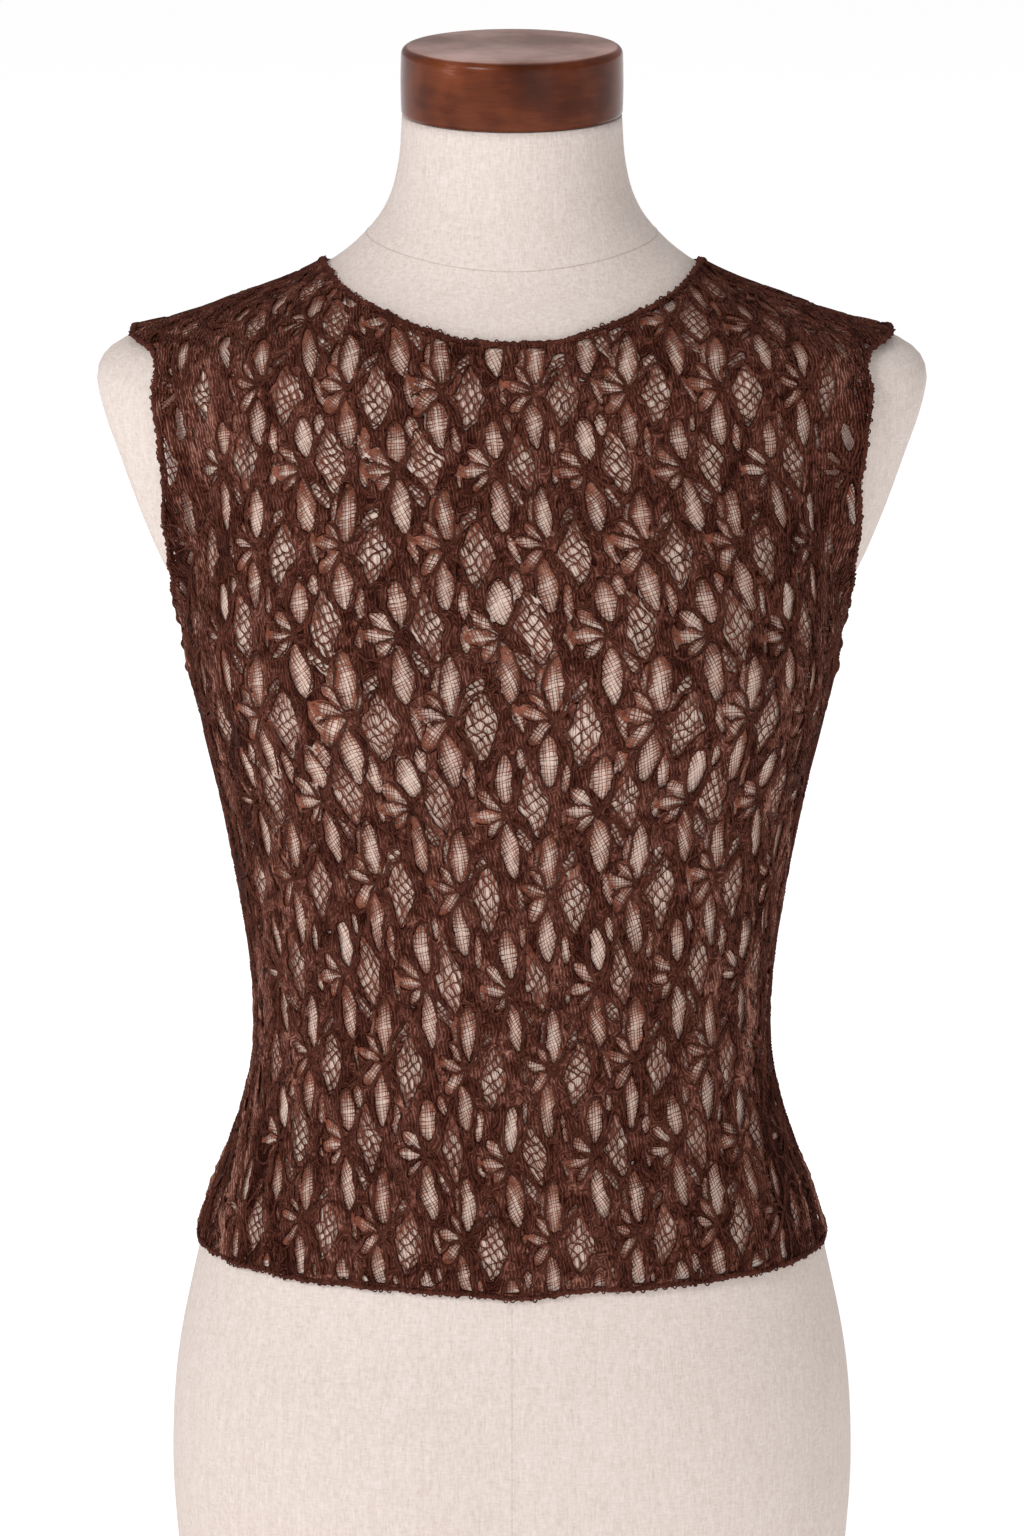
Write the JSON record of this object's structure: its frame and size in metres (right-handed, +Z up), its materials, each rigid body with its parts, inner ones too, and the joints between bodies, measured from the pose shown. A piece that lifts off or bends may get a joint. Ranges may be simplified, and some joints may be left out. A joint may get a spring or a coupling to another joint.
{
  "type": "lace tank top on limbless dress form",
  "caption": "Sleeveless hip-length stretch lace top with a wide neck, worn on a limbless linen dress form with a round wooden neck cap and a flat base.",
  "frame": {"origin": "centre of the dress form's flat base, on the surface it stands on", "axes": "+Z up the body, -Y towards the front of the top, +X towards the wearer's left"},
  "size_m": [0.381, 0.2427, 0.734],
  "materials": {
    "lace": "matt stretch lace, dark red-brown",
    "edging": "matt overlocked edge, darker red-brown",
    "linen": "matt undyed linen",
    "wood": "satin mahogany"
  },
  "bodies": {
    "root": {"front_panel": "lace", "back_panel": "lace", "neck_edging": "edging", "hem_edging": "edging", "armhole_edging_left": "edging", "armhole_edging_right": "edging", "dress_form": "linen", "neck_cap": "wood"}
  },
  "joints": []
}
